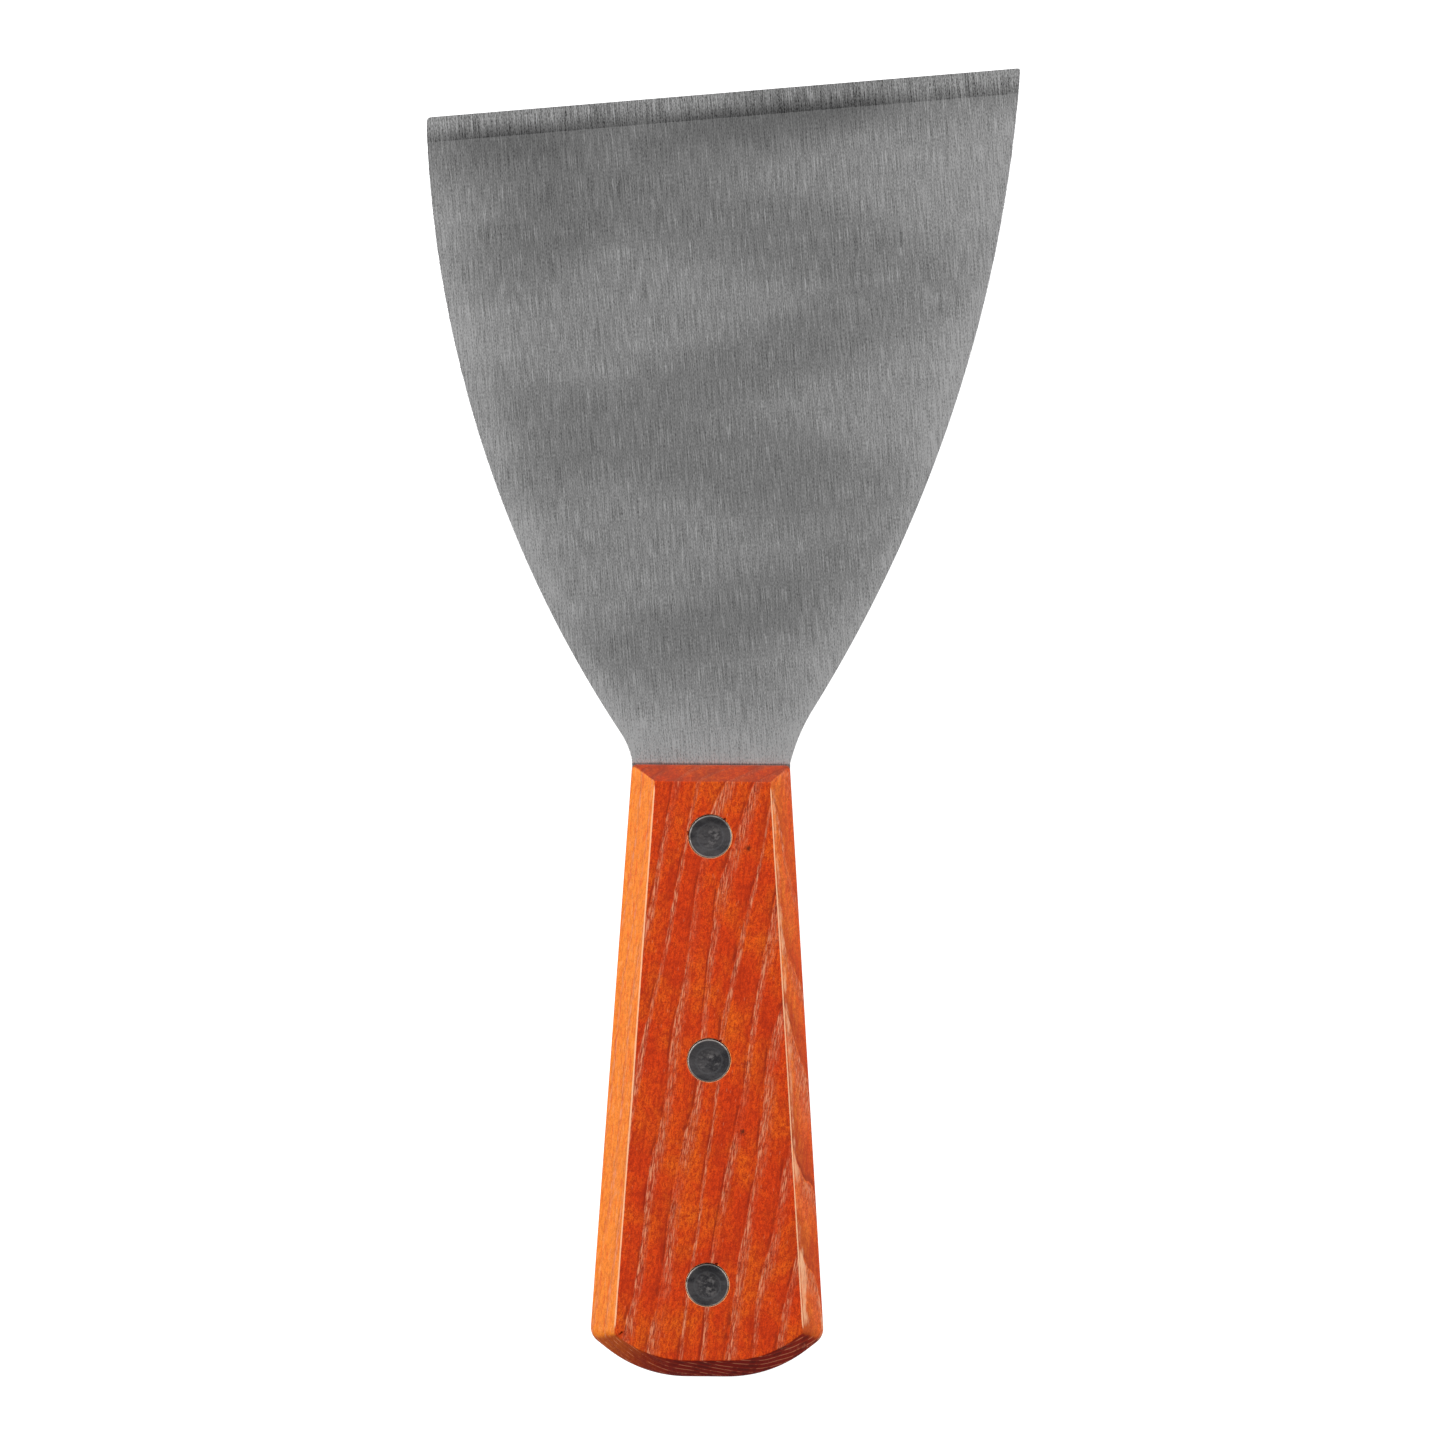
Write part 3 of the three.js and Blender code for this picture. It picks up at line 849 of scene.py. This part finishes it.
class StainedAsh(Nodes):
    """Ring-porous wood under a red-orange stain, painted on in layers.

    Every pattern is a section through the same solid grain, so it runs on over the edges. Only the butt,
    where the rings lie closer, has rings of its own.
    """

    def __init__(self, name, location, turn):
        super().__init__(bpy.data.materials.new(name))
        self.spot = self.place(location, turn)
        self.x, self.y, self.z = self.parts(self.spot)
        self.find_sides()
        self.grow_rings()
        self.lay_fibres()
        self.open_pores()
        self.soak_up_stain()
        self.sand_and_light_left_chamfer()
        self.scuff_and_sheen_right_chamfer()
        self.show_early_wood()
        self.darken_ends()
        self.fill_pores()
        self.show_butt_rings()
        self.rub_and_highlight_ridges()
        self.add_knots()
        roughness = self.fade(self.stipple, 0.3, 0.7, 0.5, 0.4)
        self.set(Base_Color=self.colour, Roughness=roughness, Specular_IOR_Level=0.15)
        relief = self.math("SUBTRACT", self.product(self.stipple, 0.3), self.pores)
        self.bump(relief, 0.00004, 0.6)

    def paint(self, share, colour):
        """Covers a share of the colour so far with another."""
        self.colour = self.mix(share, self.colour, colour)

    def find_sides(self):
        """Which way the surface faces. The upright walls count half towards left and right."""
        facing = self.facing()
        slanting = self.fade(self.math("ABSOLUTE", facing[2]), 0.15, 0.45, 0.5, 1)
        self.left = self.product(self.fade(facing[0], -0.2, -0.5), slanting)
        self.right = self.product(self.fade(facing[0], 0.2, 0.5), slanting)
        self.butt = self.fade(facing[1], -0.3, -0.6)
        self.front = self.fade(facing[1], 0.3, 0.6)
        # the left chamfer is painted paler, as if lit from the left, and the right one a little; the plain
        # stain's patterns are kept to the rest
        sanded_and_lit = self.total(self.product(self.left, 0.55), self.product(self.right, 0.3))
        self.stained = self.math("SUBTRACT", 1, sanded_and_lit)

    def grow_rings(self):
        """Growth rings: sheets that lean across the handle, dive along it and waver."""
        spot = self.spot
        lean = self.product(self.x, RING_LEAN)
        dive = self.total(self.product(self.y, -RING_DIVE), self.fade(self.y, -0.010, -0.050, 0, 0.0014))
        sway = self.product(self.noise(spot, (0.020, 0.040, 0.012), 1, 0.4), 0.0034)
        self.unevenness = self.product(self.noise(spot, (0.0075, 0.050, 0.006), 1, 0.4), 0.0026)
        ripple = self.product(self.noise(spot, (0.0010, 0.005, 0.0010), 2, 0.5), 0.0003)
        rise = self.total(self.z, lean, dive, sway, self.unevenness, ripple)
        years = self.math("DIVIDE", rise, RING_WIDTH)
        self.phase = self.math("FRACT", years)
        inputs = {"W": self.math("FLOOR", years)}
        vigour = self.add("ShaderNodeTexWhiteNoise", inputs, noise_dimensions="1D").outputs["Value"]
        early_end = self.fade(vigour, 0, 1, 0.22, 0.50)
        falling = self.fade(self.phase, 0.10, early_end, 1, 0)
        self.early = self.product(self.fade(self.phase, 0.0, 0.04), falling)

    def lay_fibres(self):
        """The place along slanting fibres, for whatever follows the grain."""
        lean = self.product(self.y, FIBRE_LEAN)
        inputs = {0: self.math("SUBTRACT", self.x, lean), 1: self.y, 2: self.z}
        self.fibres = self.add("ShaderNodeCombineXYZ", inputs).outputs[0]

    def open_pores(self):
        """Short tubes along the grain, crowded in the early part of each ring and scattered elsewhere."""
        tubes = self.fade(self.cells(self.fibres, (0.00036, 0.0030, 0.00036)), 0.22, 0.36, 1, 0)
        hairs = self.noise(self.fibres, (0.00015, 0.0020, 0.00015), 2, 0.6)
        hairs = self.fade(hairs, 0.53, 0.62, 0, 0.85)
        crowding = self.fade(self.noise(self.spot, (0.0045, 0.016, 0.0045)), 0.34, 0.54, 0.15, 1)
        crowding = self.math("MAXIMUM", crowding, self.product(self.right, 0.5))
        self.crowded = self.product(self.early, crowding)
        pores = self.product(self.math("MAXIMUM", tubes, hairs), self.crowded)
        scattered = self.cells(self.fibres, (0.0008, 0.0040, 0.0008), (0.0004, 0, 0))
        self.pores = self.math("MAXIMUM", pores, self.fade(scattered, 0.05, 0.11, 0.35, 0))

    def soak_up_stain(self):
        """Blotches, streaks and strands of orange, red and dark red."""
        blotch = self.noise(self.spot, (0.0085, 0.0115, 0.009), 5, 0.68)
        strands = self.noise(self.fibres, (0.00035, 0.0100, 0.00035), 2, 0.6)
        self.streaks = self.noise(self.fibres, (0.0022, 0.0090, 0.0022), 3, 0.6, move=(0.7, 0.3, 0))
        self.stipple = self.noise(self.spot, (0.00020, 0.00028, 0.00020), 3, 0.75)
        self.colour = self.mix(self.fade(blotch, 0.40, 0.74), STAIN_RED, STAIN_ORANGE)
        dark = self.fade(blotch, 0.46, 0.28, 0, 0.3)
        dark = self.total(dark, self.fade(self.streaks, 0.50, 0.32, 0, 0.4))
        dark = self.total(dark, self.fade(strands, 0.50, 0.36, 0, 0.25))
        self.paint(dark, STAIN_DARK)
        self.paint(self.fade(self.phase, 0.6, 0.98, 0, 0.2), STAIN_DARK)

    def sand_and_light_left_chamfer(self):
        """The sander went last over the left chamfer, and it is painted as if lit from the left: an even, pale
        orange with short dashes.
        """
        dashes = self.noise(self.fibres, (0.00036, 0.0030, 0.00036), 3, 0.65, move=(0.1, 0.6, 0))
        self.paint(self.product(self.left, 0.9), SANDED_AND_LIT)
        self.paint(self.product(self.left, self.fade(dashes, 0.47, 0.34, 0, 0.5)), STAIN_RED)
        self.paint(self.product(self.left, self.fade(dashes, 0.55, 0.68, 0, 0.25)), BARE_WOOD_AND_HIGHLIGHT)

    def scuff_and_sheen_right_chamfer(self):
        """And it scuffed the right one along its fibres and rings, most of all in its lower half, which also
        carries a painted sheen highlight.

        The stain stayed reddest at the foot of the slope.
        """
        streak = self.noise(self.fibres, (0.0006, 0.006, 0.0005), 3, 0.6)
        # pale streaks that are partly sanding and partly a painted sheen highlight
        self.paint(self.product(self.right, self.fade(streak, 0.36, 0.64, 0.2, 0.6)), SANDED_AND_LIT)
        scuffs_and_sheen = self.fade(self.noise(self.fibres, (0.0009, 0.006, 0.0009), 4, 0.65), 0.36, 0.66, 0.1, 1)
        scuffs_and_sheen = self.product(scuffs_and_sheen, self.fade(self.phase, 0.75, 0.4, 0.05, 0.45))
        scuffs_and_sheen = self.product(scuffs_and_sheen, self.fade(self.y, -0.045, -0.065, 0.4, 1))
        self.paint(self.product(self.right, scuffs_and_sheen), SCUFFED_AND_SHEEN)
        red_rings = self.fade(self.y, -0.020, -0.045, 0.15, 0.5)
        red_rings = self.product(self.fade(self.phase, 0.45, 0.8), red_rings)
        self.paint(self.product(self.right, red_rings), STAIN_DARK)
        foot = self.fade(self.z, -0.3 * CHAMFER_DEPTH, -CHAMFER_DEPTH, 0, 0.5)
        self.paint(self.product(self.right, foot), STAIN_RED)

    def show_early_wood(self):
        """Greyer bands of early wood with dark furrows in them, and a fine curly speckle everywhere."""
        self.paint(self.product(self.crowded, 0.5, self.stained), EARLY_WOOD)
        curl = self.noise(self.fibres, (0.00045, 0.0010, 0.00045), 3, 0.7)
        curl = self.fade(curl, 0.40, 0.60, 0.5, 0)
        speckle = self.total(self.fade(self.stipple, 0.42, 0.58, 0.42, 0), curl)
        self.paint(self.product(speckle, self.stained), STAIN_DARK)
        shadows = self.noise(self.fibres, (0.00012, 0.0034, 0.00014), 2, 0.6, move=(0.3, 0.1, 0))
        shadows = self.product(self.fade(shadows, 0.50, 0.60), self.crowded, 0.85)
        broken = self.fade(self.noise(self.spot, (0.002, 0.006, 0.002)), 0.45, 0.6)
        seam = self.product(self.fade(self.phase, 0.88, 0.97), broken, 0.65)
        self.paint(self.product(self.math("MAXIMUM", shadows, seam), self.stained), PORE_DARK)

    def darken_ends(self):
        """End grain drinks the stain: brown at the front and dark at the butt. The butt is also painted with
        shade that deepens towards its right.
        """
        self.paint(self.product(self.front, self.fade(self.streaks, 0.35, 0.65, 0.8, 0.52)), FRONT_DARK)
        # painted shade: the butt darkens from its left to its right, away from the light
        self.paint(self.product(self.fade(self.x, -0.014, -0.002, 0.55, 0.9), self.butt), END_DARK)

    def fill_pores(self):
        """Sanding dust in the pores. Little of it shows on the ends."""
        ends = self.math("MAXIMUM", self.front, self.butt)
        share = self.math("SUBTRACT", 0.8, self.product(ends, 0.7))
        self.paint(self.product(self.pores, share), PORE_PALE)

    def show_butt_rings(self):
        """The rings' edges at the butt: nearly level lines that come and go, pale on near black."""
        lean = self.product(self.x, END_LEAN)
        rise = self.total(self.z, lean, self.product(self.unevenness, 0.4))
        phase = self.math("FRACT", self.math("DIVIDE", rise, END_RING_WIDTH))
        line = self.product(self.fade(phase, 0.0, 0.05), self.fade(phase, 0.08, 0.3, 1, 0))
        between = self.product(self.fade(phase, 0.3, 0.6), self.fade(self.streaks, 0.54, 0.44, 0, 0.45))
        # the near black between the rings is kept to the right of the butt: partly the grain, partly painted
        # shade
        self.paint(self.product(self.butt, between, self.fade(self.x, -0.012, -0.002)), KNOT)
        self.paint(self.product(self.butt, line, self.fade(self.streaks, 0.46, 0.56, 0.08, 0.75)), END_PALE)

    def rub_and_highlight_ridges(self):
        """Ridges rubbed through to bare wood, raggedly, and wider where soft rings cross the right one. Their
        paleness is partly a painted highlight.
        """
        rub = self.product(self.noise(self.spot, (0.0009, 0.0035, 0.0009), 4, 0.65), 1.1)
        soft = self.product(self.early, self.fade(self.y, -0.030, -0.060, 0.05, 0.25))
        soft = self.total(soft, self.fade(self.y, -0.075, -0.095, 0, 0.2))
        wear_and_highlight = self.total(self.attribute("wear_and_highlight"), self.product(self.right, soft), rub)
        # pale ridges: bare wood and partly a painted highlight
        self.paint(self.fade(wear_and_highlight, 0.85, 1.35, 0, 0.9), BARE_WOOD_AND_HIGHLIGHT)

    def add_knots(self):
        """Two ragged pin knots on the face."""
        ragged = self.product(self.noise(self.fibres, (0.0003, 0.0008, 0.0003), 2, 0.6), 0.0012)
        for knot_x, knot_y in PIN_KNOTS:
            inputs = {0: self.spot, 1: (knot_x, knot_y, 0)}
            away = self.add("ShaderNodeVectorMath", inputs, operation="DISTANCE").outputs["Value"]
            self.paint(self.fade(self.total(away, ragged), 0.0007, 0.0013, 0.8, 0), KNOT)


# ---------------------------------------------------------------- camera, floor and lights


def make_camera():
    data = bpy.data.cameras.new("camera")
    camera = bpy.data.objects.new("camera", data)
    bpy.context.scene.collection.objects.link(camera)
    data.lens = data.sensor_width * CAMERA_HEIGHT / VIEW_WIDTH
    data.clip_end = 20
    camera.location = (VIEW_OFFSET.x, VIEW_OFFSET.y, MIDDLE_Z + CAMERA_HEIGHT)
    camera.rotation_euler = (0, 0, CAMERA_ROLL)
    bpy.context.scene.camera = camera


def floor_white():
    """A pale floor that shows white, and throws no more light back at the knife than grey paper."""
    s = new_material("floor_white")
    seen = s.add("ShaderNodeLightPath").outputs["Is Camera Ray"]
    s.set(Base_Color=grey(0.5), Roughness=0.9, Emission_Color=grey(1.0), Emission_Strength=seen)
    return s.owner


def make_floor():
    mesh = bpy.data.meshes.new("floor")
    reach, level = FLOOR_REACH, FLOOR_LEVEL
    corners = [(-reach, -reach, level), (reach, -reach, level), (reach, reach, level), (-reach, reach, level)]
    mesh.from_pydata(corners, [], [(0, 1, 2, 3)])
    mesh.materials.append(floor_white())
    floor = bpy.data.objects.new("floor", mesh)
    bpy.context.scene.collection.objects.link(floor)


def make_softbox(name, direction, distance, power):
    """A large soft area light that faces the knife."""
    data = bpy.data.lights.new(name, "AREA")
    data.shape = "RECTANGLE"
    data.size, data.size_y = SOFTBOX_SIZE
    data.energy = power
    light = bpy.data.objects.new(name, data)
    bpy.context.scene.collection.objects.link(light)
    away = Vector(direction).normalized()
    light.location = away * distance
    light.rotation_euler = away.to_track_quat("Z", "Y").to_euler()


def make_world():
    """A dim ceiling with a brighter middle, bright walls, and less light from behind the butt."""
    s = Nodes(bpy.data.worlds.new("studio"))
    toward = s.parts(s.add("ShaderNodeTexCoord").outputs["Generated"])
    walls = s.fade(toward[2], 0.88, 0.35, CEILING, WALLS)
    middle = s.fade(toward[2], 0.93, 1.0, 0, MIDDLE_OF_CEILING - CEILING)
    behind = s.fade(toward[1], -0.7, 0.2, BEHIND_BUTT, 1)
    s.set(Color=grey(1), Strength=s.product(s.total(walls, middle), behind))
    bpy.context.scene.world = s.owner


def make_lights():
    make_softbox("key_left", (-1, 0.35, 0.65), 1.1, 10.0)
    make_softbox("fill_right", (1, 0.5, 0.65), 1.2, 8.7)
    bpy.context.scene.view_settings.view_transform = "Standard"


# ---------------------------------------------------------------- the knife

make_camera()
make_blade(brushed_steel())
front_wood = StainedAsh("stained_ash_front", (-AXIS_X, -FRONT_Y, -SCALE_HIGH.z), (0, 0, 0))
back_wood = StainedAsh("stained_ash_back", (AXIS_X + 0.004, -FRONT_Y - 0.05, 0.0004), (0, math.pi, 0))
make_scale("front_scale_detail", 1.5, at_handle(), front_wood.owner, "front_scale")
make_scale("back_scale_detail", 8.5, turned_over(), back_wood.owner, "back_scale")
rivet_steel = blackened_steel()
for number, rivet in enumerate(RIVETS):
    make_rivet(rivet, number * 3.7, RIVET_Y[rivet] - FRONT_Y, rivet_steel)
make_floor()
make_world()
make_lights()
